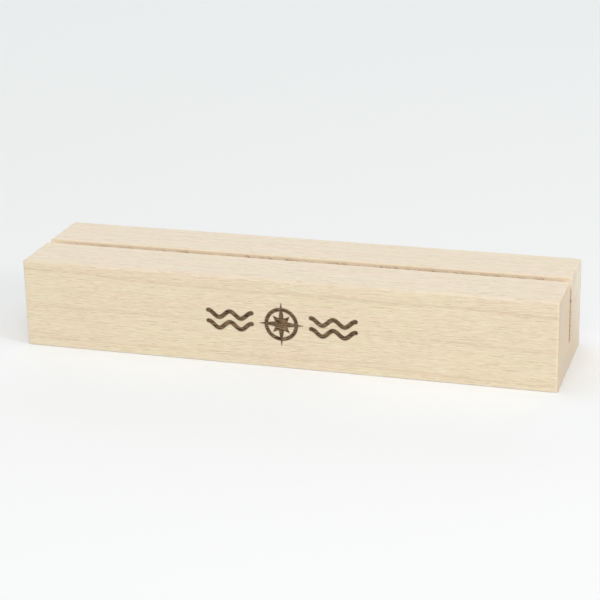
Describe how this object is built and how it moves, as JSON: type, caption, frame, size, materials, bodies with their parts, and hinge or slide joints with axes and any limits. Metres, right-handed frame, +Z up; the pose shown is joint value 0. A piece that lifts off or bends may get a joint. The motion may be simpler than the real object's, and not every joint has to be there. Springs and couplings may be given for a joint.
{
  "type": "photo block",
  "caption": "Solid beech block with a saw slot along its top that holds a card or photo upright, with a small ornament burnt into its front face.",
  "frame": {"origin": "middle of the block's underside, on the surface that it stands on", "axes": "+X along the block and its slot, +Y from the burnt front face to the back, +Z up out of the slot"},
  "size_m": [0.18, 0.044, 0.03],
  "materials": {
    "beech": "planed and finely sanded, bare, straight grain along the block",
    "burnt_beech": "laser-burnt, matt, dark brown"
  },
  "bodies": {
    "root": {"beech_block": "beech", "burnt_compass": "burnt_beech", "burnt_waves_left": "burnt_beech", "burnt_waves_right": "burnt_beech"}
  },
  "joints": []
}
